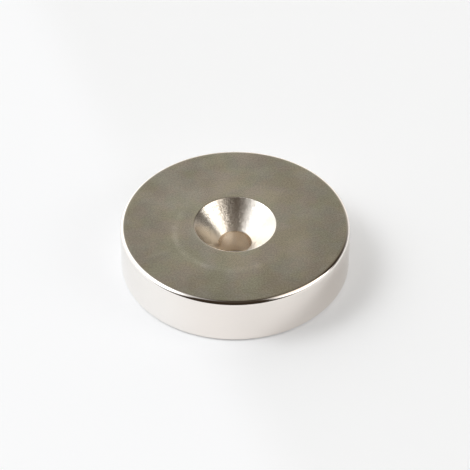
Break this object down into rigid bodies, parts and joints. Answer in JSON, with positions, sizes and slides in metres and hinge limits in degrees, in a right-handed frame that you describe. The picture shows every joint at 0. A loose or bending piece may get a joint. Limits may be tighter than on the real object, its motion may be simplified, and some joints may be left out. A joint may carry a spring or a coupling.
{
  "type": "countersunk magnet",
  "caption": "Plated disc magnet with rounded edges and a central screw hole, countersunk from the top so that a flat-head screw holds it to a surface.",
  "frame": {"origin": "centre of the disc's back face, on the hole's axis", "axes": "+Z along the hole's axis, from the back face to the countersunk face; X and Y lie in the back face and are free, because the part is round"},
  "size_m": [0.045, 0.045, 0.01],
  "materials": {
    "nickel_plating": "bright nickel plating, mirror-like on the turned edge and satin on the ground flat faces"
  },
  "bodies": {
    "root": {"magnet": "nickel_plating"}
  },
  "joints": []
}
